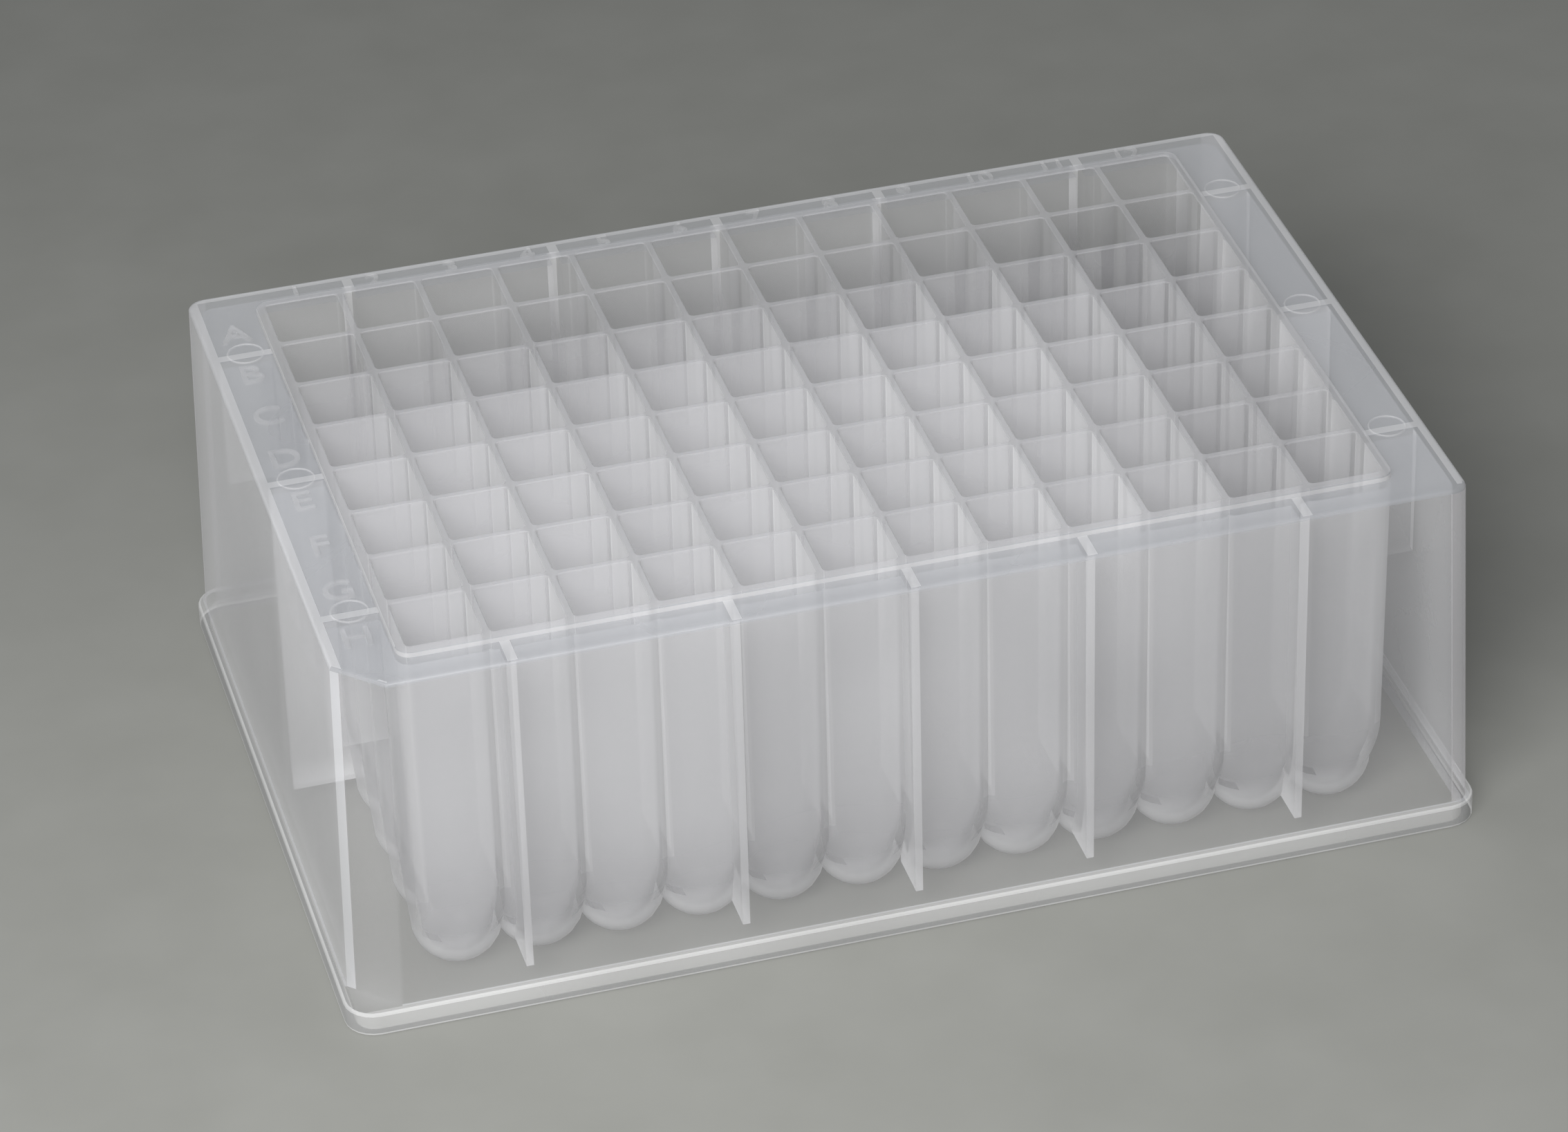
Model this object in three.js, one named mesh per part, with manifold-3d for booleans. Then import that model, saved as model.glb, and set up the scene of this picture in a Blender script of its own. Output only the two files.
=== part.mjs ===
// A 96-well deep-well plate: one polypropylene moulding with square, round-bottomed wells.
// Millimetres, +Z up. The origin is the centre of the footprint, on the surface the plate stands on.
// +X runs from column 1 to column 12, and +Y from row H to row A.

import * as THREE from "three";
import { mergeVertices } from "three/addons/utils/BufferGeometryUtils.js";
import Module from "manifold-3d";

// Footprint of the base flange, and the height of the well rims.
const footprintLength = 127.76;
const footprintWidth = 85.48;
const overallHeight = 44;

// Base flange: the band that locates the plate in a nest. It stands out past the skirt as a ledge.
const flangeHeight = 2.8;
const flangeWall = 1.2;
const flangeCornerRadius = 3.4;
const flangeEdgeBevel = 0.3;
const ledgeWidth = 1.0;
const ledgeThickness = 1.1;

// Skirt: the wall from the flange up to the deck, which leans in as it rises.
const skirtWall = 1.1;
const skirtDraft = 1.1;
const skirtCornerRadius = 1.8;
const notchLeg = 4.9;

// Deck: the web between the skirt and the wells, below the rims.
const deckThickness = 0.9;
const deckEdgeBevel = 0.45;
const rimHeight = 0.75;

// Wells: square mouths on a square grid, with a thin web between two mouths. Each side of a well leans in
// by the taper on its way down, and the well turns round towards its foot and ends in a half ball.
const columns = 12;
const rows = 8;
const wellPitch = 9;
const wellWeb = 0.8;
const wellTaper = 0.2;
const wellCornerRadius = 0.5;
const wellWall = 1.1;
const wellTipHeight = 0.4;
const roundingHeight = 6;
const ballRingAngle = THREE.MathUtils.degToRad(42);

// Ribs that tie the wells to the skirt, thinner at the foot than at the deck. They start at a set distance
// past the outer wells' centres. Each side has one at its middle and the others in pairs about it, and the
// pairs on the short sides end half way down.
const ribThickness = 1.1;
const ribFootThickness = 0.8;
const ribStart = 2.5;
const ribFoot = 3.1;
const highRibFoot = 27;
const longSideInnerPair = 19.45;
const longSideOuterPair = 43.45;
const shortSidePair = 27;

// How far a cutting solid runs past what it cuts, and the steps in each quarter-circle corner.
const cutClearance = 1;
const cornerSteps = 2;

// Heights and places that follow from the sizes above.
const deckTop = overallHeight - rimHeight;
const deckUnderside = deckTop - deckThickness;
const wellMouth = wellPitch - wellWeb;
const wellFoot = wellMouth - 2 * wellTaper;
const ballCentreHeight = wellTipHeight + wellWall + wellFoot / 2;
const roundingTop = ballCentreHeight + roundingHeight;
const flatOfCircle = Math.tan(Math.PI / 8);
const outerColumn = ((columns - 1) * wellPitch) / 2;
const outerRow = ((rows - 1) * wellPitch) / 2;
const ribTop = deckTop - deckThickness / 2;

// The ribs of a side, each with its place along the side and the height of its foot.
const longSideRibs = [
  { place: -longSideOuterPair, foot: ribFoot },
  { place: -longSideInnerPair, foot: ribFoot },
  { place: 0, foot: ribFoot },
  { place: longSideInnerPair, foot: ribFoot },
  { place: longSideOuterPair, foot: ribFoot },
];
const shortSideRibs = [
  { place: -shortSidePair, foot: highRibFoot },
  { place: 0, foot: ribFoot },
  { place: shortSidePair, foot: highRibFoot },
];

const up = new THREE.Vector3(0, 0, 1);

const wasm = await Module();
wasm.setup();

// The solid inside a closed geometry.
function solidFrom(geometry) {
  const bare = geometry.index ? geometry.toNonIndexed() : geometry.clone();
  bare.deleteAttribute("normal");
  bare.deleteAttribute("uv");
  const merged = mergeVertices(bare, 1e-4);
  return new wasm.Manifold(
    new wasm.Mesh({
      numProp: 3,
      vertProperties: merged.attributes.position.array,
      triVerts: new Uint32Array(merged.index.array),
    }),
  );
}

// The geometry of a joined solid.
function geometryFrom(solid) {
  const mesh = solid.getMesh();
  const indexed = new THREE.BufferGeometry();
  indexed.setAttribute("position", new THREE.BufferAttribute(mesh.vertProperties, 3));
  indexed.setIndex(new THREE.BufferAttribute(mesh.triVerts, 1));
  const geometry = indexed.toNonIndexed();
  geometry.computeVertexNormals();
  return geometry;
}

function joinAll(solids) {
  return solids.reduce((whole, solid) => whole.add(solid));
}

// A closed skin through rings with equal numbers of points, from the lowest ring to the highest.
// The lowest ring is closed flat, or drawn to a tip below it.
function loft(rings, tip = null) {
  const corners = [];
  const count = rings[0].length;
  rings.slice(1).forEach((high, level) => {
    const low = rings[level];
    high.forEach((point, i) => {
      const next = (i + 1) % count;
      corners.push(low[i], low[next], high[next]);
      corners.push(low[i], high[next], point);
    });
  });
  const lowest = rings[0];
  const highest = rings[rings.length - 1];
  for (let i = 1; i + 1 < count; i++) {
    corners.push(highest[0], highest[i], highest[i + 1]);
  }
  if (tip) {
    lowest.forEach((point, i) => corners.push(tip, lowest[(i + 1) % count], point));
  } else {
    for (let i = 1; i + 1 < count; i++) {
      corners.push(lowest[0], lowest[i + 1], lowest[i]);
    }
  }
  return solidFrom(new THREE.BufferGeometry().setFromPoints(corners));
}

// A rectangle at one height, with arcs at its corners. A notch cuts the front left corner at 45 degrees.
function plateRing({ halfLength, halfWidth, radius, notch }, z) {
  const outline = new THREE.Path();
  const right = halfLength - radius;
  const back = halfWidth - radius;
  outline.absarc(right, back, radius, 0, Math.PI / 2, false);
  outline.absarc(-right, back, radius, Math.PI / 2, Math.PI, false);
  if (notch > 0) {
    outline.lineTo(-halfLength, notch - halfWidth);
    outline.lineTo(notch - halfLength, -halfWidth);
  } else {
    outline.absarc(-right, -back, radius, Math.PI, 1.5 * Math.PI, false);
  }
  outline.absarc(right, -back, radius, 1.5 * Math.PI, 2 * Math.PI, false);
  return outline.getPoints(cornerSteps).map((point) => new THREE.Vector3(point.x, point.y, z));
}

// The outline of the flange, taken in by an inset.
function flangeOutline(inset) {
  return {
    halfLength: footprintLength / 2 - inset,
    halfWidth: footprintWidth / 2 - inset,
    radius: flangeCornerRadius - inset,
    notch: 0,
  };
}

// The outline of the skirt at a height, taken in by an inset. The notch keeps its distance from the wall.
function skirtOutline(z, inset) {
  const rise = (z - flangeHeight) / (deckTop - flangeHeight);
  const takenIn = inset + skirtDraft * rise;
  return {
    halfLength: footprintLength / 2 - ledgeWidth - takenIn,
    halfWidth: footprintWidth / 2 - ledgeWidth - takenIn,
    radius: skirtCornerRadius,
    notch: notchLeg - (2 - Math.SQRT2) * inset,
  };
}

// The space inside the skirt wall, taken in by an inset, between two heights.
function skirtSolid(inset, low, high) {
  return loft([low, high].map((z) => plateRing(skirtOutline(z, inset), z)));
}

// The flange, skirt and deck as one thin shell, open below.
function makeShell() {
  const flange = loft([
    plateRing(flangeOutline(0), 0),
    plateRing(flangeOutline(0), flangeHeight - flangeEdgeBevel),
    plateRing(flangeOutline(flangeEdgeBevel), flangeHeight),
  ]);
  const bevelFoot = deckTop - deckEdgeBevel;
  const skirt = loft([
    plateRing(skirtOutline(flangeHeight / 2, 0), flangeHeight / 2),
    plateRing(skirtOutline(bevelFoot, 0), bevelFoot),
    plateRing(skirtOutline(deckTop, deckEdgeBevel), deckTop),
  ]);
  const nestTop = flangeHeight - ledgeThickness;
  const nest = loft(
    [-cutClearance, nestTop].map((z) => plateRing(flangeOutline(flangeWall), z)),
  );
  return flange
    .add(skirt)
    .subtract(nest)
    .subtract(skirtSolid(skirtWall, -cutClearance, deckUnderside));
}

// An eight-sided ring around a well: a square with cut corners, its flats centred on the axes.
function wellRing(centre, { half, flat, z }) {
  const quarter = [
    [half, -flat],
    [half, flat],
  ];
  return [0, 1, 2, 3].flatMap((turn) =>
    quarter.map(([x, y]) => {
      const point = new THREE.Vector2(x, y).rotateAround(new THREE.Vector2(), (turn * Math.PI) / 2);
      return new THREE.Vector3(centre.x + point.x, centre.y + point.y, z);
    }),
  );
}

// A well's inside, or its outside when a wall is given, up to a height.
function wellSolid(centre, wall, top) {
  const footHalf = wellFoot / 2 + wall;
  const lean = wellTaper / (overallHeight - ballCentreHeight);
  const square = (z) => {
    const half = footHalf + lean * (z - ballCentreHeight);
    return { half, flat: half - wellCornerRadius - wall, z };
  };
  const round = (angle) => {
    const half = footHalf * Math.sin(angle);
    return { half, flat: half * flatOfCircle, z: ballCentreHeight - footHalf * Math.cos(angle) };
  };
  const rings = [round(ballRingAngle), round(Math.PI / 2), square(roundingTop), square(top)];
  const tip = new THREE.Vector3(centre.x, centre.y, ballCentreHeight - footHalf);
  return loft(
    rings.map((ring) => wellRing(centre, ring)),
    tip,
  );
}

function wellCentres() {
  const centres = [];
  for (let column = 0; column < columns; column++) {
    for (let row = 0; row < rows; row++) {
      centres.push(
        new THREE.Vector2(column * wellPitch - outerColumn, outerRow - row * wellPitch),
      );
    }
  }
  return centres;
}

// The raised collar around the mouths of the wells.
function makeCollar() {
  const reach = wellMouth / 2 + wellWall;
  const outline = {
    halfLength: outerColumn + reach,
    halfWidth: outerRow + reach,
    radius: wellCornerRadius + wellWall,
    notch: 0,
  };
  return loft([deckUnderside, overallHeight].map((z) => plateRing(outline, z)));
}

// A plate on edge that runs outwards from the outer wells, in one of the four directions of the grid.
// The place is counted along the side of the block, and the turn in quarter circles from +X.
function ribSolid(turn, { place, foot }, start, end) {
  const halfAt = { [foot]: ribFootThickness / 2, [ribTop]: ribThickness / 2 };
  const rings = [foot, ribTop].map((z) => {
    const corners = [
      new THREE.Vector3(start, place - halfAt[z], z),
      new THREE.Vector3(end, place - halfAt[z], z),
      new THREE.Vector3(end, place + halfAt[z], z),
      new THREE.Vector3(start, place + halfAt[z], z),
    ];
    return corners.map((corner) => corner.applyAxisAngle(up, (turn * Math.PI) / 2));
  });
  return loft(rings);
}

// All the ribs, ended in the middle of the skirt wall.
function makeRibs() {
  const sides = [
    { turns: [0, 2], list: shortSideRibs, start: outerColumn + ribStart, end: footprintLength / 2 },
    { turns: [1, 3], list: longSideRibs, start: outerRow + ribStart, end: footprintWidth / 2 },
  ];
  const ribs = sides.flatMap(({ turns, list, start, end }) =>
    turns.flatMap((turn) => list.map((rib) => ribSolid(turn, rib, start, end))),
  );
  return joinAll(ribs).intersect(skirtSolid(skirtWall / 2, 0, deckTop));
}

// The solid plastic between the wells, from the centres of their half balls up to the deck.
function makeCore() {
  const box = new THREE.BoxGeometry(2 * outerColumn, 2 * outerRow, deckUnderside - ballCentreHeight);
  box.translate(0, 0, (deckUnderside + ballCentreHeight) / 2);
  return solidFrom(box);
}

function makeWellPlate() {
  const centres = wellCentres();
  const outsides = centres.map((centre) => wellSolid(centre, wellWall, deckTop - deckThickness / 2));
  const insides = centres.map((centre) => wellSolid(centre, 0, overallHeight + cutClearance));
  const solid = makeShell()
    .add(makeCollar())
    .add(makeRibs())
    .add(joinAll(outsides))
    .add(makeCore())
    .subtract(joinAll(insides));
  const naturalPolypropylene = new THREE.MeshStandardMaterial({
    color: 0xd9dadb,
    roughness: 0.45,
    metalness: 0,
    transparent: true,
    opacity: 0.6,
  });
  const mesh = new THREE.Mesh(geometryFrom(solid), naturalPolypropylene);
  mesh.name = "well_plate";
  return mesh;
}

const plate = new THREE.Group();
plate.add(makeWellPlate());

export default plate;
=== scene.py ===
# A deep-well plate in natural polypropylene, on grey paper under soft studio light.
# Lengths are written in millimetres and turned into metres where a mesh is made.

import math
import bmesh
import bpy
from mathutils import Matrix, Vector


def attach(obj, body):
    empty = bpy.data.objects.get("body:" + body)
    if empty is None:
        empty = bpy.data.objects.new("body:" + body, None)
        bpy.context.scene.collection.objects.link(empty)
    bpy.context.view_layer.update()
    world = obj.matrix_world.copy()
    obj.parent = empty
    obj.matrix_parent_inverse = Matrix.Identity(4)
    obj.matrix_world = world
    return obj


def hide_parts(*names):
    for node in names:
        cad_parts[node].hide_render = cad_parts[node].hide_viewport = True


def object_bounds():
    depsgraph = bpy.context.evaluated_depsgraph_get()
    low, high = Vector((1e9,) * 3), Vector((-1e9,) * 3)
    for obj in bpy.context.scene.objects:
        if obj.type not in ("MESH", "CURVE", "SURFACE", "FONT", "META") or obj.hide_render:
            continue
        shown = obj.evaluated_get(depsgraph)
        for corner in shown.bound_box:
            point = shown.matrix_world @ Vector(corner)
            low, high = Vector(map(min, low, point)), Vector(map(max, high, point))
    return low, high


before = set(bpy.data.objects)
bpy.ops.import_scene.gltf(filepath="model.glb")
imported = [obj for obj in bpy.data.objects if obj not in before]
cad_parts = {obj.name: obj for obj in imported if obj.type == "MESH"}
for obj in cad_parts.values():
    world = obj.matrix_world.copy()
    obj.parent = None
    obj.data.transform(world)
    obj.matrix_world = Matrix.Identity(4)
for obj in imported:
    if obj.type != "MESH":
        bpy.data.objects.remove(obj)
cad_low, cad_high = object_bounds()

MM = 0.001
scene = bpy.context.scene

# Sizes of the moulding, the same as in the solid model.
half_length = cad_high.x / MM
half_width = cad_high.y / MM
rim_height = cad_high.z / MM
flange_height = 2.8
flange_wall = 1.2
flange_radius = 3.4
flange_edge = 0.3
ledge_width = 1.0
ledge_thickness = 1.1
skirt_wall = 1.1
skirt_draft = 1.1
skirt_radius = 1.8
notch_leg = 4.9
deck_thickness = 0.9
deck_edge = 0.45
rim_step = 0.75
columns = 12
rows = 8
pitch = 9.0
mouth = 8.2
well_foot = 7.8
well_corner = 0.5
well_wall = 1.1
tip_height = 0.4
rounding_height = 6.0
rib_thickness = 1.1
rib_foot_thickness = 0.8
rib_start = 2.5
rib_foot = 3.1
high_rib_foot = 27.0
inner_rib = 19.45
outer_rib = 43.45
short_side_rib = 27.0

# The ribs of a side, each with its place along the side and the height of its foot.
long_side_ribs = [(place, rib_foot) for place in (-outer_rib, -inner_rib, 0.0, inner_rib, outer_rib)]
short_side_ribs = [(-short_side_rib, high_rib_foot), (0.0, rib_foot), (short_side_rib, high_rib_foot)]

deck_top = rim_height - rim_step
deck_under = deck_top - deck_thickness
rib_top = deck_top - deck_thickness / 2
ball_height = tip_height + well_wall + well_foot / 2
rounding_top = ball_height + rounding_height
outer_column = (columns - 1) * pitch / 2
outer_row = (rows - 1) * pitch / 2

# Finer shapes, which only the visible moulding has: the gap between a rib and the skirt, how nearly
# upright the rib's edge is, the bevel round a mouth, the round of the collar's top edge, how far in a round
# edge stands halfway round (in radii), and how nearly a round outline's corners meet.
rib_gap = 0.03
rib_upright = 0.8
mouth_lip = 0.12
collar_edge = 0.22
halfway = 0.3
nearly_round = 0.985

# The marks on the deck, with the lines that they stand on.
letter_line = -57.9
letter_size = 5.0
number_line = 38.3
number_size = 3.6
mark_height = 0.25
mark_bevel = 0.04
mark_sunk = 0.06
ring_line = 57.6
ring_rows = (27.4, 0.4, -26.4)
ring_radius = 2.0
ring_width = 0.2
ring_height = 0.12

# Where the painted light and shade change: widths along the skirt's foot, its upright edges and the flange,
# the height of the flange's lowest line, and how far the wells' outsides reach from the middles of the
# outer wells.
junction_width = 0.25
edge_band = 2.2
flange_band = 1.6
foot_line = 0.32
block_reach = 5.4

# How near a face has to lie to a level, a place or a skin to be known by it, how squarely it has to face a
# way, and how little an upright one may face up or down.
close = 0.02
near = 0.05
by_skin = 0.3
square_on = 0.9
upright = 0.3

# Material slots of the moulding: lit and shaded copies of its one plastic, with light and shade painted in.
SKIRT, CORNER, WELL, GROOVE, BACK, WEB, SIDE, TIE, FLANGE, DECK, EDGE, RIB, THICK, RIM = range(14)


# ---------------------------------------------------------------- shapes

def outline(bm, half_x, half_y, radius, z, notch=0.0):
    """A flat face with round corners, and the front left one cut off where a notch is given."""
    before = set(bm.faces)
    made = bmesh.ops.create_grid(bm, x_segments=1, y_segments=1, size=1.0)
    bmesh.ops.scale(bm, vec=(half_x, half_y, 1.0), verts=made["verts"])
    bmesh.ops.translate(bm, vec=(0.0, 0.0, z), verts=made["verts"])
    cut = [v for v in made["verts"] if notch and v.co.x < 0.0 and v.co.y < 0.0]
    plain = [v for v in made["verts"] if v not in cut]
    for verts, offset, segments in ((plain, radius, 6), (cut, notch, 1)):
        if verts:
            bmesh.ops.bevel(bm, geom=verts, offset=offset, offset_type="OFFSET", segments=segments,
                            profile=0.5, affect="VERTICES", material=-1)
    return next(f for f in bm.faces if f not in before)


def loft(levels):
    """A closed bmesh through outlines from the lowest to the highest, capped at both ends."""
    bm = bmesh.new()
    rings = []
    for level in levels:
        face = outline(bm, **level)
        rings.append(list(face.edges))
        if level is not levels[0] and level is not levels[-1]:
            bmesh.ops.delete(bm, geom=[face], context="FACES_ONLY")
    for lower, upper in zip(rings, rings[1:]):
        bmesh.ops.bridge_loops(bm, edges=lower + upper)
    bmesh.ops.recalc_face_normals(bm, faces=bm.faces)
    return bm


def solid(bm, name, material_index=0):
    """An object from a bmesh in millimetres."""
    for face in bm.faces:
        face.material_index = material_index
    bmesh.ops.scale(bm, vec=(MM, MM, MM), verts=bm.verts)
    mesh = bpy.data.meshes.new(name)
    bm.to_mesh(mesh)
    bm.free()
    obj = bpy.data.objects.new(name, mesh)
    scene.collection.objects.link(obj)
    for material in lit_and_shaded_plastics:
        mesh.materials.append(material)
    return obj


def combine(base, other, operation):
    """Joins another closed solid to the base, cuts it out, or keeps what they share, and uses it up."""
    step = base.modifiers.new("step", "BOOLEAN")
    step.operation = operation
    step.solver = "MANIFOLD"
    step.object = other
    depsgraph = bpy.context.evaluated_depsgraph_get()
    made = bpy.data.meshes.new_from_object(base.evaluated_get(depsgraph), depsgraph=depsgraph)
    base.modifiers.clear()
    old = base.data
    base.data = made
    bpy.data.meshes.remove(old)
    bpy.data.objects.remove(other)
    return base


def copies(bm, places):
    """The whole bmesh at each place."""
    seed = list(bm.verts) + list(bm.edges) + list(bm.faces)
    for x, y in places[1:]:
        made = bmesh.ops.duplicate(bm, geom=seed)["geom"]
        verts = [g for g in made if isinstance(g, bmesh.types.BMVert)]
        bmesh.ops.translate(bm, vec=(x - places[0][0], y - places[0][1], 0.0), verts=verts)
    bmesh.ops.translate(bm, vec=(places[0][0], places[0][1], 0.0), verts=list(bm.verts))
    return bm


# ---------------------------------------------------------------- parts of the moulding

def skirt_level(z, inset):
    """The skirt's outline at a height, or one that stands inside it on all sides and at the cut corner."""
    rise = (z - flange_height) / (deck_top - flange_height)
    taken = ledge_width + inset + skirt_draft * rise
    return dict(half_x=half_length - taken, half_y=half_width - taken, radius=skirt_radius, z=z,
                notch=notch_leg - (2 - math.sqrt(2)) * inset)


def flange_level(z, inset):
    """The flange's outline at a height, or one that stands inside it."""
    return dict(half_x=half_length - inset, half_y=half_width - inset, radius=flange_radius - inset, z=z)


def skirt_and_flange():
    """The hollow skirt with its top, the deck, and the flange at its foot with a nest step inside."""
    flange = solid(loft([
        flange_level(0.0, flange_edge / 2),
        flange_level(flange_edge / 2, 0.0),
        flange_level(flange_height - flange_edge, 0.0),
        flange_level(flange_height - flange_edge * halfway, flange_edge * halfway),
        flange_level(flange_height, flange_edge),
    ]), "flange", SKIRT)
    quarter = [math.radians(turn) for turn in (0.0, 22.5, 45.0, 67.5, 90.0)]
    rounded = [skirt_level(deck_top - deck_edge * round(1 - math.sin(a), 2),
                           deck_edge * round(1 - math.cos(a), 2)) for a in quarter]
    skirt = solid(loft([skirt_level(flange_height / 2, 0.0)] + rounded), "skirt", SKIRT)
    ledge_under = flange_height - ledge_thickness
    nest = solid(loft([flange_level(-1.0, flange_wall),
                       flange_level(ledge_under, flange_wall)]), "nest", SKIRT)
    inner = solid(loft([skirt_level(-1.0, skirt_wall),
                        skirt_level(deck_under, skirt_wall)]), "inner", SKIRT)
    combine(flange, skirt, "UNION")
    combine(flange, nest, "DIFFERENCE")
    return combine(flange, inner, "DIFFERENCE")


def well(wall, top, lip=0.0):
    """One well's inside, or its outside when a wall is given. Its foot is half a ball, it turns from round
    to square above that, and it leans out to the top. A lip is the small bevel round its mouth."""
    foot = well_foot / 2 + wall
    lean = (mouth - well_foot) / 2 / (rim_height - ball_height)
    rings = []
    for angle in (12, 26, 40, 54, 68, 80):
        a = math.radians(angle)
        half = foot * math.sin(a)
        rings.append((half, half * nearly_round, ball_height - foot * math.cos(a)))
    steps = 5
    for i in range(steps + 1):
        share = i / steps
        z = ball_height + rounding_height * share
        half = foot + lean * (z - ball_height)
        ease = math.sin(share * math.pi / 2)
        corner = half * nearly_round + (well_corner + wall - half * nearly_round) * ease
        rings.append((half, corner, z))
    half = foot + lean * (top - ball_height)
    if lip:
        below = foot + lean * (rim_height - lip - ball_height)
        rings.append((below, well_corner + wall, rim_height - lip))
        rings.append((below + lip, well_corner + wall + lip, rim_height))
        rings.append((below + lip, well_corner + wall + lip, top))
    else:
        rings.append((half, well_corner + wall, top))
    bm = loft([dict(half_x=h, half_y=h, radius=c, z=z) for h, c, z in rings])
    lowest = min(bm.faces, key=lambda f: f.calc_center_median().z)
    tip = bmesh.ops.poke(bm, faces=[lowest])["verts"]
    bmesh.ops.translate(bm, vec=(0, 0, ball_height - foot - tip[0].co.z), verts=tip)
    return bm


def well_places(parity=None):
    """The middles of all the wells, or of every second one each way, which don't touch each other."""
    return [(c * pitch - outer_column, outer_row - r * pitch)
            for c in range(columns) for r in range(rows)
            if parity is None or (c % 2, r % 2) == parity]


def box(low, high):
    """A block between two corners."""
    bm = bmesh.new()
    bmesh.ops.create_cube(bm, size=1.0)
    bmesh.ops.translate(bm, vec=(0.5, 0.5, 0.5), verts=bm.verts)
    bmesh.ops.scale(bm, vec=[h - l for l, h in zip(low, high)], verts=bm.verts)
    bmesh.ops.translate(bm, vec=low, verts=bm.verts)
    return bm


def collar():
    """The low block that the wells' mouths open in, with its top edge rounded off."""
    reach = mouth / 2 + well_wall

    def level(z, inset):
        return dict(half_x=outer_column + reach - inset, half_y=outer_row + reach - inset,
                    radius=well_corner + well_wall - inset, z=z)

    return solid(loft([
        level(deck_under, 0.0),
        level(rim_height - collar_edge, 0.0),
        level(rim_height - collar_edge * halfway, collar_edge * halfway),
        level(rim_height, collar_edge),
    ]), "collar", RIM)


def rib(turn, place, foot, start, end):
    """A plate on edge, thinner at its foot."""
    bm = bmesh.new()
    bmesh.ops.create_cube(bm, size=1.0)
    bmesh.ops.scale(bm, vec=(end - start, rib_thickness, rib_top - foot), verts=bm.verts)
    bmesh.ops.translate(bm, vec=((start + end) / 2, 0.0, (rib_top + foot) / 2), verts=bm.verts)
    lower = [v for v in bm.verts if v.co.z < (rib_top + foot) / 2]
    bmesh.ops.scale(bm, vec=(1.0, rib_foot_thickness / rib_thickness, 1.0), verts=lower)
    bmesh.ops.translate(bm, vec=(0.0, place, 0.0), verts=bm.verts)
    bmesh.ops.rotate(bm, cent=(0, 0, 0), matrix=Matrix.Rotation(turn * math.pi / 2, 3, "Z"), verts=bm.verts)
    return bm


def ribs():
    """All the ribs, ended just short of the skirt's inner skin with an upright edge."""
    whole = bmesh.new()
    for turns, listed, start, end in (((0, 2), short_side_ribs, outer_column + rib_start, half_length),
                                      ((1, 3), long_side_ribs, outer_row + rib_start, half_width)):
        for turn in turns:
            for place, foot in listed:
                one = rib(turn, place, foot, start, end)
                mesh = bpy.data.meshes.new("rib")
                one.to_mesh(mesh)
                one.free()
                whole.from_mesh(mesh)
                bpy.data.meshes.remove(mesh)
    made = solid(whole, "ribs", SKIRT)
    low_end = skirt_level(0.0, skirt_wall + rib_gap)
    high_end = skirt_level(deck_top, skirt_wall + rib_gap)
    for key in ("half_x", "half_y"):
        low_end[key] += (high_end[key] - low_end[key]) * rib_upright
    bound = solid(loft([low_end, high_end]), "bound", SKIRT)
    return combine(made, bound, "INTERSECT")


def skirt_reach(z):
    """How far the skirt's skin stands from the middle at a height, along X and along Y."""
    level = skirt_level(z, 0.0)
    return level["half_x"], level["half_y"]


def rib_half(z):
    """Half a rib's thickness at a height."""
    share = (z - rib_foot) / (rib_top - rib_foot)
    return (rib_foot_thickness + (rib_thickness - rib_foot_thickness) * share) / 2


def on_skirt(face):
    """Which side of the skirt's outer skin a face lies on: x, y, corner, or nothing."""
    centre = face.calc_center_median()
    if not flange_height - close < centre.z < deck_top - deck_edge + near or abs(face.normal.z) > upright:
        return None
    reach_x, reach_y = skirt_reach(centre.z)
    outward = centre.x * face.normal.x + centre.y * face.normal.y > 0
    if not outward or (abs(centre.x) < reach_x - notch_leg and abs(centre.y) < reach_y - by_skin) \
            or (abs(centre.y) < reach_y - notch_leg and abs(centre.x) < reach_x - by_skin):
        return None
    if abs(face.normal.x) > 0.98:
        return "x"
    if abs(face.normal.y) > 0.98:
        return "y"
    return "corner"


def on_deck(face):
    """Whether a face lies on the deck's upper side."""
    return face.normal.z > square_on and abs(face.calc_center_median().z - deck_top) < close


def on_ledge(face):
    """Whether a face lies on the ledge round the skirt's foot."""
    return face.normal.z > square_on and abs(face.calc_center_median().z - flange_height) < close


def at_junction(x, y):
    """Whether a point of the ledge lies along the foot of the skirt."""
    reach_x, reach_y = skirt_reach(flange_height)
    return abs(x) < reach_x + junction_width and abs(y) < reach_y + junction_width


def over_notch(x, y):
    """Whether a point of the ledge lies in the corner that the skirt leaves free."""
    reach_x, reach_y = skirt_reach(flange_height)
    return x < 0 and y < 0 and -x - y > reach_x + reach_y - notch_leg + junction_width \
        and -x < reach_x + junction_width and -y < reach_y + junction_width


def by_upright_edge(x, y, z):
    """Whether a point of the skirt lies in the band beside one of its three round upright edges."""
    reach_x, reach_y = skirt_reach(z)
    return abs(x) > reach_x - edge_band and abs(y) > reach_y - edge_band and not (x < 0 and y < 0)


def on_flange_side(face):
    """Whether a face lies on the flange's upright outer side, round corners included."""
    centre = face.calc_center_median()
    return abs(face.normal.z) < upright and centre.z < flange_height \
        and (abs(centre.x) > half_length - by_skin or abs(centre.y) > half_width - by_skin
             or abs(centre.x) + abs(centre.y) > half_length + half_width - flange_radius * 0.7)


def score(bm, wanted, point, normal):
    """Cuts a line across the wanted faces, without opening them."""
    faces = [f for f in bm.faces if wanted(f)]
    edges = list(dict.fromkeys(e for f in faces for e in f.edges))
    verts = list(dict.fromkeys(v for f in faces for v in f.verts))
    bmesh.ops.bisect_plane(bm, geom=faces + edges + verts, plane_co=point, plane_no=normal, dist=1e-5)


def notch_band_start():
    """How far along the cut corner the wall behind its left edge starts to show, at any height."""
    return (half_length - half_width + notch_leg) / math.sqrt(2) - skirt_wall


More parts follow.
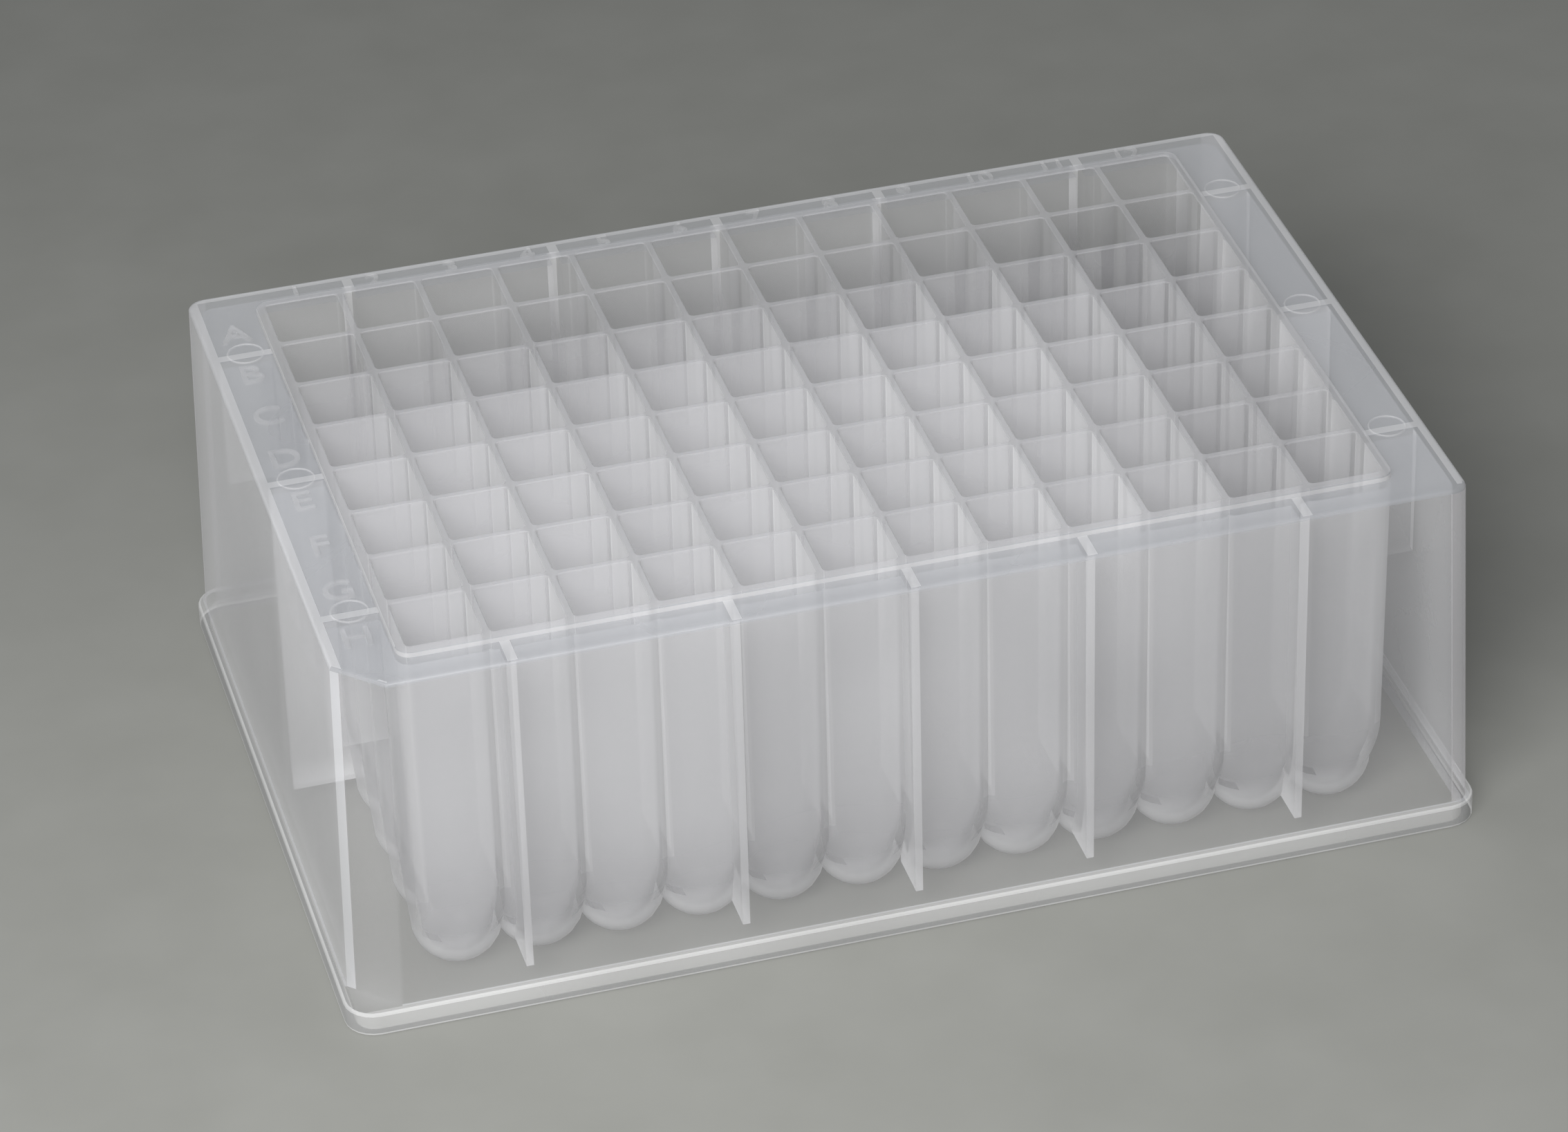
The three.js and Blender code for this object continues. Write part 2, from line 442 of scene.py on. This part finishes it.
def by_rib(place, listed, half):
    """Whether a place along a side is less than half a width from the middle of one of its ribs."""
    return any(abs(place - middle) < half for middle, _ in listed)


def on_rib_end(face):
    """Whether a face is a rib's upright outer end, which stands just inside the skirt."""
    x, y, _ = face.calc_center_median()
    inner = skirt_level(deck_top, skirt_wall)
    for facing, outward, reach, along, listed in (
            (face.normal.y, y, inner["half_y"], x, long_side_ribs),
            (face.normal.x, x, inner["half_x"], y, short_side_ribs)):
        if abs(facing) > square_on and -0.2 < abs(outward) - reach < 0.5 and by_rib(along, listed, by_skin):
            return True
    return False


def score_thick_places(bm):
    """Lines on the skin over the places where the light goes a long way through the plastic."""
    for side in (-1, 1):
        for place, _ in long_side_ribs:
            score(bm, on_deck, (place + side * rib_thickness / 2, 0, deck_top), (1, 0, 0))
        for place, _ in short_side_ribs:
            score(bm, on_deck, (0, place + side * rib_thickness / 2, deck_top), (0, 1, 0))
        foot_x, foot_y = skirt_reach(flange_height)
        score(bm, on_ledge, (side * (foot_x + junction_width), 0, flange_height), (1, 0, 0))
        score(bm, on_ledge, (0, side * (foot_y + junction_width), flange_height), (0, 1, 0))
        score(bm, on_ledge, (side * (foot_x - notch_leg), 0, flange_height), (1, 0, 0))
        score(bm, on_ledge, (0, side * (foot_y - notch_leg), flange_height), (0, 1, 0))
        reach_x, reach_y = skirt_reach(deck_top)
        score(bm, on_deck, (side * (reach_x - skirt_wall), 0, deck_top), (1, 0, 0))
        score(bm, on_deck, (0, side * (reach_y - skirt_wall), deck_top), (0, 1, 0))
        lean_in = skirt_draft / (deck_top - flange_height)
        score(bm, lambda f: on_skirt(f) == "y",
              (side * (foot_x - edge_band), 0, flange_height), (side, 0, lean_in))
        score(bm, lambda f: on_skirt(f) == "x",
              (0, side * (foot_y - edge_band), flange_height), (0, side, lean_in))
    score(bm, on_flange_side, (0, 0, foot_line), (0, 0, 1))
    foot = notch_band_start() / math.sqrt(2)
    score(bm, lambda f: on_skirt(f) == "corner" and f.normal.x < -0.5 and f.normal.y < -0.5,
          (-foot, foot, flange_height), (-1 / math.sqrt(2), 1 / math.sqrt(2), 0))


def painted_shading_of(face):
    """Which lit or shaded copy of the plastic a face of the moulding shows, with light and shade painted in
    by place.
    """
    x, y, z = face.calc_center_median()
    if face.normal.z > 0.6 and z > rim_height - by_skin:
        return RIM
    side = on_skirt(face)
    if side == "corner":
        if x < 0 and y < 0:
            return EDGE if (y - x) / math.sqrt(2) > notch_band_start() else SKIRT
        return CORNER
    if side:
        return CORNER if by_upright_edge(x, y, z) else SKIRT
    if on_deck(face):
        reach_x, reach_y = skirt_reach(deck_top)
        over_wall = abs(x) > reach_x - skirt_wall or abs(y) > reach_y - skirt_wall
        over_rib = by_rib(x, long_side_ribs, rib_thickness / 2) and abs(y) > outer_row \
            or by_rib(y, short_side_ribs, rib_thickness / 2) and abs(x) > outer_column
        over_front = y < -(reach_y - skirt_wall) and x > notch_leg - reach_x
        return EDGE if (over_wall and not over_front) or over_rib else DECK
    if abs(face.normal.z) > square_on and abs(z - deck_under) < near:
        return DECK
    if z > deck_top - deck_edge - close and face.normal.z > 0.2:
        return DECK if face.normal.y < -0.1 else EDGE
    if on_ledge(face):
        if over_notch(x, y):
            return SKIRT
        return EDGE if at_junction(x, y) else FLANGE
    if face.normal.z < -square_on and abs(z - flange_height + ledge_thickness) < near:
        return SKIRT
    on_flange = abs(x) > half_length - flange_band or abs(y) > half_width - flange_band \
        or abs(x) + abs(y) > half_length + half_width - 2 * flange_radius
    if z < flange_height + flange_edge and on_flange:
        upper_edge = face.normal.z > 0.3 and z > flange_height - flange_edge
        return THICK if z < foot_line or upper_edge else FLANGE
    if on_rib_end(face):
        return RIB
    if abs(face.normal.y) > square_on and abs(x) > outer_column + block_reach \
            and any(abs(abs(y - place) - rib_half(z)) < 0.1 for place, _ in short_side_ribs):
        return TIE
    if in_well(x, y, z):
        return SIDE if abs(face.normal.x) > 0.8 and z > rounding_top else WEB
    if abs(x) < outer_column + block_reach and abs(y) < outer_row + block_reach:
        if y > outer_row and z > ball_height:
            return BACK
        return GROOVE if 0.35 < abs(face.normal.x) < 0.95 and z > rounding_top else WELL
    return SKIRT


def in_well(x, y, z):
    """Whether a point lies on the inside of a well rather than on the outside."""
    across = abs((x + outer_column + pitch / 2) % pitch - pitch / 2)
    along = abs((y + outer_row + pitch / 2) % pitch - pitch / 2)
    if abs(x) > outer_column + pitch / 2 or abs(y) > outer_row + pitch / 2:
        return False
    if z > ball_height:
        half = well_foot / 2 + (mouth - well_foot) / 2 * (z - ball_height) / (rim_height - ball_height)
        return max(across, along) < half + 0.25
    return math.sqrt(across ** 2 + along ** 2 + (z - ball_height) ** 2) < well_foot / 2 + well_wall / 2


def moulding():
    """The whole plate in one closed mesh, with a lit or shaded copy of its plastic on each face."""
    plate = skirt_and_flange()
    combine(plate, collar(), "UNION")
    combine(plate, ribs(), "UNION")
    for parity in ((0, 0), (0, 1), (1, 0), (1, 1)):
        outside = solid(copies(well(well_wall, rib_top), well_places(parity)), "outsides", WELL)
        combine(plate, outside, "UNION")
    between = box((-outer_column, -outer_row, ball_height), (outer_column, outer_row, deck_under))
    combine(plate, solid(between, "core", WELL), "UNION")
    insides = solid(copies(well(0.0, rim_height + 1.0, lip=mouth_lip), well_places()), "insides", WELL)
    combine(plate, insides, "DIFFERENCE")
    plate.name = "well_plate_moulding"
    plate.data.name = "well_plate_moulding"
    bm = bmesh.new()
    bm.from_mesh(plate.data)
    bmesh.ops.remove_doubles(bm, verts=bm.verts, dist=1e-7)
    bmesh.ops.dissolve_degenerate(bm, edges=bm.edges, dist=1e-7)
    bmesh.ops.scale(bm, vec=(1 / MM, 1 / MM, 1 / MM), verts=bm.verts)
    score_thick_places(bm)
    for face in bm.faces:
        face.smooth = True
        face.material_index = painted_shading_of(face)
    bmesh.ops.scale(bm, vec=(MM, MM, MM), verts=bm.verts)
    bm.to_mesh(plate.data)
    bm.free()
    plate.data.set_sharp_from_angle(angle=math.radians(28))
    return plate


# ---------------------------------------------------------------- lettering and rings

def lettering(name, marks, size, material):
    """Raised characters on the deck, each centred on its place, with their feet sunk into it."""
    whole = bmesh.new()
    for text, x, y in marks:
        curve = bpy.data.curves.new("mark", "FONT")
        curve.body = text
        curve.size = size * MM
        curve.align_x = "CENTER"
        curve.align_y = "CENTER"
        curve.extrude = mark_height * MM / 2
        curve.bevel_depth = mark_bevel * MM
        curve.resolution_u = 4
        obj = bpy.data.objects.new("mark", curve)
        scene.collection.objects.link(obj)
        depsgraph = bpy.context.evaluated_depsgraph_get()
        mesh = bpy.data.meshes.new_from_object(obj.evaluated_get(depsgraph))
        middle = deck_top + mark_height / 2 - mark_sunk
        mesh.transform(Matrix.Translation((x * MM, y * MM, middle * MM)))
        whole.from_mesh(mesh)
        bpy.data.meshes.remove(mesh)
        bpy.data.objects.remove(obj)
        bpy.data.curves.remove(curve)
    bmesh.ops.remove_doubles(whole, verts=whole.verts, dist=1e-7)
    mesh = bpy.data.meshes.new(name)
    whole.to_mesh(mesh)
    whole.free()
    mesh.materials.append(material)
    obj = bpy.data.objects.new(name, mesh)
    scene.collection.objects.link(obj)
    return obj


def witness_rings(name, centres, material):
    """Thin raised rings on the deck."""
    bm = bmesh.new()
    for x, y in centres:
        section = bmesh.ops.create_circle(bm, segments=8, radius=1.0, cap_ends=False)["verts"]
        bmesh.ops.scale(bm, vec=(ring_width / 2, ring_height, 1.0), verts=section)
        bmesh.ops.rotate(bm, cent=(0, 0, 0), matrix=Matrix.Rotation(math.pi / 2, 3, "X"), verts=section)
        bmesh.ops.translate(bm, vec=(x + ring_radius, y, deck_top), verts=section)
        edges = list(dict.fromkeys(e for v in section for e in v.link_edges))
        bmesh.ops.spin(bm, geom=section + edges, cent=(x, y, 0), axis=(0, 0, 1), angle=2 * math.pi,
                       steps=48, use_merge=True, use_duplicate=False)
    bmesh.ops.remove_doubles(bm, verts=bm.verts, dist=1e-5)
    bmesh.ops.recalc_face_normals(bm, faces=bm.faces)
    for face in bm.faces:
        face.smooth = True
    bmesh.ops.scale(bm, vec=(MM, MM, MM), verts=bm.verts)
    mesh = bpy.data.meshes.new(name)
    bm.to_mesh(mesh)
    bm.free()
    mesh.materials.append(material)
    obj = bpy.data.objects.new(name, mesh)
    scene.collection.objects.link(obj)
    return obj


# ---------------------------------------------------------------- materials

def natural_plastic(name, haze, gain, roughness, power=2.5, changes=(), colour=(0.96, 0.96, 0.98),
                    grained=True):
    """Milky, see-through polypropylene. Haze is what one face veils straight on, and the veil thickens
    by the gain where a wall is seen aslant and the light has further to go through it. Each change paints
    light and shade into the plastic: it is an axis, where along it the veil starts to change, where it has
    changed, and how many times denser it is there. A grained face has the mould's fine grain."""
    material = bpy.data.materials.new(name)
    material.use_nodes = True
    tree = material.node_tree
    tree.nodes.clear()

    def node(kind, **values):
        made = tree.nodes.new(kind)
        for key, value in values.items():
            setattr(made, key, value)
        return made

    output = node("ShaderNodeOutputMaterial")
    place = node("ShaderNodeTexCoord")
    flow = node("ShaderNodeTexNoise")
    flow.inputs["Scale"].default_value = 55.0
    flow.inputs["Detail"].default_value = 0.0
    tree.links.new(place.outputs["Object"], flow.inputs["Vector"])
    weight = node("ShaderNodeLayerWeight")
    weight.inputs["Blend"].default_value = 0.5
    slant = node("ShaderNodeMath", operation="POWER")
    slant.inputs[1].default_value = power
    tree.links.new(weight.outputs["Facing"], slant.inputs[0])
    aslant = node("ShaderNodeMath", operation="MULTIPLY_ADD")
    aslant.inputs[1].default_value = gain
    aslant.inputs[2].default_value = haze
    tree.links.new(slant.outputs[0], aslant.inputs[0])
    cloud = node("ShaderNodeMapRange")
    cloud.inputs["From Min"].default_value = 0.3
    cloud.inputs["From Max"].default_value = 0.7
    cloud.inputs["To Min"].default_value = 0.92
    cloud.inputs["To Max"].default_value = 1.08
    tree.links.new(flow.outputs["Fac"], cloud.inputs["Value"])
    dense = aslant
    parts = node("ShaderNodeSeparateXYZ")
    tree.links.new(place.outputs["Object"], parts.inputs[0])
    for axis, start, end, times in changes:
        depth = node("ShaderNodeMapRange", interpolation_type="SMOOTHSTEP")
        depth.inputs["From Min"].default_value = start * MM
        depth.inputs["From Max"].default_value = end * MM
        depth.inputs["To Min"].default_value = 1.0
        depth.inputs["To Max"].default_value = times
        tree.links.new(parts.outputs[axis], depth.inputs["Value"])
        denser = node("ShaderNodeMath", operation="MULTIPLY")
        tree.links.new(dense.outputs[0], denser.inputs[0])
        tree.links.new(depth.outputs["Result"], denser.inputs[1])
        dense = denser
    veil = node("ShaderNodeMath", operation="MULTIPLY", use_clamp=True)
    tree.links.new(dense.outputs[0], veil.inputs[0])
    tree.links.new(cloud.outputs["Result"], veil.inputs[1])
    body = node("ShaderNodeBsdfPrincipled")
    body.inputs["Base Color"].default_value = (*colour, 1.0)
    body.inputs["Roughness"].default_value = roughness
    body.inputs["IOR"].default_value = 1.49
    if grained:
        skin = node("ShaderNodeTexNoise")
        skin.inputs["Scale"].default_value = 900.0
        skin.inputs["Detail"].default_value = 0.0
        tree.links.new(place.outputs["Object"], skin.inputs["Vector"])
        bump = node("ShaderNodeBump")
        bump.inputs["Strength"].default_value = 0.05
        bump.inputs["Distance"].default_value = 0.0002
        tree.links.new(skin.outputs["Fac"], bump.inputs["Height"])
        tree.links.new(bump.outputs["Normal"], body.inputs["Normal"])
    through = node("ShaderNodeBsdfTranslucent")
    through.inputs["Color"].default_value = (*colour, 1.0)
    clear = node("ShaderNodeBsdfTransparent")
    milk = node("ShaderNodeMixShader")
    milk.inputs["Fac"].default_value = 0.45
    tree.links.new(body.outputs[0], milk.inputs[1])
    tree.links.new(through.outputs[0], milk.inputs[2])
    whole = node("ShaderNodeMixShader")
    tree.links.new(veil.outputs[0], whole.inputs["Fac"])
    tree.links.new(clear.outputs[0], whole.inputs[1])
    tree.links.new(milk.outputs[0], whole.inputs[2])

    # Light that has already been scattered sees plain milk, and shadows see plain clear plastic.
    lamp = node("ShaderNodeLightPath")
    onward = node("ShaderNodeBsdfDiffuse")
    onward.inputs["Color"].default_value = (0.5, 0.5, 0.5, 1.0)
    mirrored = node("ShaderNodeMixShader")
    tree.links.new(lamp.outputs["Is Glossy Ray"], mirrored.inputs["Fac"])
    tree.links.new(whole.outputs[0], mirrored.inputs[1])
    tree.links.new(onward.outputs[0], mirrored.inputs[2])
    scattered = node("ShaderNodeMixShader")
    tree.links.new(lamp.outputs["Is Diffuse Ray"], scattered.inputs["Fac"])
    tree.links.new(mirrored.outputs[0], scattered.inputs[1])
    tree.links.new(onward.outputs[0], scattered.inputs[2])
    cast = node("ShaderNodeBsdfTransparent")
    cast.inputs["Color"].default_value = (0.83, 0.83, 0.83, 1.0)
    shaded = node("ShaderNodeMixShader")
    tree.links.new(lamp.outputs["Is Shadow Ray"], shaded.inputs["Fac"])
    tree.links.new(scattered.outputs[0], shaded.inputs[1])
    tree.links.new(cast.outputs[0], shaded.inputs[2])
    tree.links.new(shaded.outputs[0], output.inputs["Surface"])
    return material


# The real plate is one plastic. These changes, and the differences between the colours below, are painted
# light and shade, matched to how the plate looks from its front left: the wells' inner walls get denser
# downwards and towards the front, and clearer at their feet and towards the last columns, and their
# outsides get denser at the feet.
inside_painted_light_and_shade = [("Z", 40.0, 26.0, 1.3), ("Z", 12.0, 6.0, 0.8),
                  ("Y", 27.0, 12.0, 2.9), ("X", 22.0, 48.0, 0.6)]
outside_painted_light_and_shade = [("Z", 17.0, 9.0, 0.8), ("Z", 7.5, 3.0, 2.2)]

skirt_plastic = natural_plastic("skirt_plastic", 0.085, 0.45, 0.25)
# Painted light: a lighter band over the skirt's round upright edges and beside them.
corner_plastic_painted_light = natural_plastic("corner_plastic_painted_light", 0.22, 0.4, 0.25, colour=(0.96, 0.94, 0.97))
well_plastic = natural_plastic("well_plastic", 0.31, 0.2, 0.4, power=3.0, changes=outside_painted_light_and_shade,
                               colour=(0.88, 0.88, 0.9))
# Painted light: the grooves between the wells' outsides in a lighter colour, where their sideways faces
# would be shaded.
groove_plastic_painted_light = natural_plastic("groove_plastic_painted_light", 0.3, 0.1, 0.35, colour=(0.95, 0.95, 0.965),
                                 grained=False)
# Painted light and shade: the backs of the last row, clear above so that its wells look dark, and much
# denser below, which lightens them where they lie in shade.
back_plastic_painted_light_and_shade = natural_plastic("back_plastic_painted_light_and_shade", 0.08, 0.2, 0.35, changes=[("Z", 35.0, 24.0, 5.5)],
                               grained=False)
# Painted shade: the wells' inner walls in a darker grey.
web_plastic_painted_shade = natural_plastic("web_plastic_painted_shade", 0.1, 0.02, 0.35, changes=inside_painted_light_and_shade,
                              colour=(0.68, 0.68, 0.70), grained=False)
# Painted light: the wells' side walls, on which the light from the left falls, lighter than their backs.
side_plastic_painted_light = natural_plastic("side_plastic_painted_light", 0.15, 0.02, 0.35, changes=inside_painted_light_and_shade,
                               colour=(0.93, 0.93, 0.95), grained=False)
tie_plastic = natural_plastic("tie_plastic", 0.11, 0.1, 0.3, changes=[("Z", 27.0, 8.0, 0.3)])
# Painted light: the flange lighter and denser than the skirt, lifting the shade seen through it.
flange_plastic_painted_light = natural_plastic("flange_plastic_painted_light", 0.26, 0.2, 0.25, colour=(0.92, 0.92, 0.92))
# Painted shade: the deck in a darker, bluish grey.
deck_plastic_painted_shade = natural_plastic("deck_plastic_painted_shade", 0.36, 0.15, 0.3, colour=(0.515, 0.53, 0.56))
# Partly the thicker plastic and partly painted light: lighter bands on the deck over the skirt wall and the
# ribs, along the skirt's foot and behind the cut corner.
edge_plastic_painted_light = natural_plastic("edge_plastic_painted_light", 0.44, 0.2, 0.3, colour=(0.78, 0.785, 0.81))
# Partly the thicker plastic and partly painted light: the ribs' outer ends, which show through the skirt as
# light lines.
rib_plastic_painted_light = natural_plastic("rib_plastic_painted_light", 0.36, 0.3, 0.25)
# Painted highlight: a bright line along the flange's foot and its upper edge.
thick_plastic_painted_highlight = natural_plastic("thick_plastic_painted_highlight", 0.55, 0.2, 0.25, colour=(0.88, 0.88, 0.88))
# Painted shade: the rims and the collar's top in a darker grey.
rim_plastic_painted_shade = natural_plastic("rim_plastic_painted_shade", 0.32, 0.25, 0.3, colour=(0.64, 0.64, 0.66))
mark_plastic = natural_plastic("mark_plastic", 0.065, 0.25, 0.3)
ring_plastic = natural_plastic("ring_plastic", 0.13, 0.2, 0.3)

# In the order of the moulding's material slots.
lit_and_shaded_plastics = [skirt_plastic, corner_plastic_painted_light, well_plastic, groove_plastic_painted_light, back_plastic_painted_light_and_shade, web_plastic_painted_shade,
            side_plastic_painted_light, tie_plastic, flange_plastic_painted_light, deck_plastic_painted_shade, edge_plastic_painted_light, rib_plastic_painted_light,
            thick_plastic_painted_highlight, rim_plastic_painted_shade]

# ---------------------------------------------------------------- the plate

plate = moulding()
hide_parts("well_plate")
letters = [("ABCDEFGH"[r], letter_line, outer_row - r * pitch) for r in range(rows)]
numbers = [(str(c + 1), c * pitch - outer_column, number_line) for c in range(columns)]
row_letters = lettering("row_letters", letters, letter_size, mark_plastic)
column_numbers = lettering("column_numbers", numbers, number_size, mark_plastic)
ring_places = [(x, y) for x in (-ring_line, ring_line) for y in ring_rows]
rings = witness_rings("deck_rings", ring_places, ring_plastic)
for piece in (plate, row_letters, column_numbers, rings):
    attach(piece, "root")

# ---------------------------------------------------------------- floor, light and camera

paper = bpy.data.materials.new("paper")
paper.use_nodes = True
sheet = paper.node_tree.nodes["Principled BSDF"]
sheet.inputs["Roughness"].default_value = 0.9
sheet.inputs["Specular IOR Level"].default_value = 0.1

grain_place = paper.node_tree.nodes.new("ShaderNodeTexCoord")
grain = paper.node_tree.nodes.new("ShaderNodeTexNoise")
grain.inputs["Scale"].default_value = 70.0
grain.inputs["Detail"].default_value = 3.0
paper.node_tree.links.new(grain_place.outputs["Object"], grain.inputs["Vector"])
tones = paper.node_tree.nodes.new("ShaderNodeValToRGB")
tones.color_ramp.elements[0].position = 0.3
tones.color_ramp.elements[0].color = (0.198, 0.200, 0.186, 1.0)
tones.color_ramp.elements[1].position = 0.7
tones.color_ramp.elements[1].color = (0.212, 0.214, 0.200, 1.0)
paper.node_tree.links.new(grain.outputs["Fac"], tones.inputs["Fac"])
paper.node_tree.links.new(tones.outputs["Color"], sheet.inputs["Base Color"])

floor_bm = bmesh.new()
bmesh.ops.create_grid(floor_bm, x_segments=1, y_segments=1, size=3.0)
floor_mesh = bpy.data.meshes.new("floor")
floor_bm.to_mesh(floor_mesh)
floor_bm.free()
floor_mesh.materials.append(paper)
floor = bpy.data.objects.new("floor", floor_mesh)
scene.collection.objects.link(floor)

world = bpy.data.worlds.new("studio")
scene.world = world
world.use_nodes = True
world.node_tree.nodes["Background"].inputs["Color"].default_value = (0.9, 0.95, 1.0, 1.0)
world.node_tree.nodes["Background"].inputs["Strength"].default_value = 0.18


def soft_box(name, place, target, size, power):
    """A soft studio light that faces a point."""
    light = bpy.data.lights.new(name, "AREA")
    light.shape = "RECTANGLE"
    light.size, light.size_y = size
    light.energy = power
    obj = bpy.data.objects.new(name, light)
    scene.collection.objects.link(obj)
    obj.location = place
    obj.rotation_mode = "QUATERNION"
    obj.rotation_quaternion = (Vector(target) - Vector(place)).to_track_quat("-Z", "Y")


soft_box("key", (-0.21, -0.34, 0.335), (0.02, -0.04, 0.0), (0.30, 0.22), 4.75)
soft_box("fill", (0.34, 0.42, 0.34), (0.03, 0.03, 0.0), (0.40, 0.30), 0.4)

camera_place = (-0.14741, -0.54292, 0.39634)
forward = Vector((0.21299, 0.80362, -0.55572)).normalized()
right = Vector((0.96161, -0.27314, -0.02643))
right = (right - forward * right.dot(forward)).normalized()
up = right.cross(forward)
camera_data = bpy.data.cameras.new("camera")
camera_data.sensor_width = 36.0
camera_data.lens = 138.63
camera_data.clip_start = 0.05
camera_data.clip_end = 20.0
camera = bpy.data.objects.new("camera", camera_data)
scene.collection.objects.link(camera)
turn = Matrix((right, up, -forward)).transposed()
camera.matrix_world = Matrix.Translation(camera_place) @ turn.to_4x4()
scene.camera = camera
scene.view_settings.view_transform = "Standard"
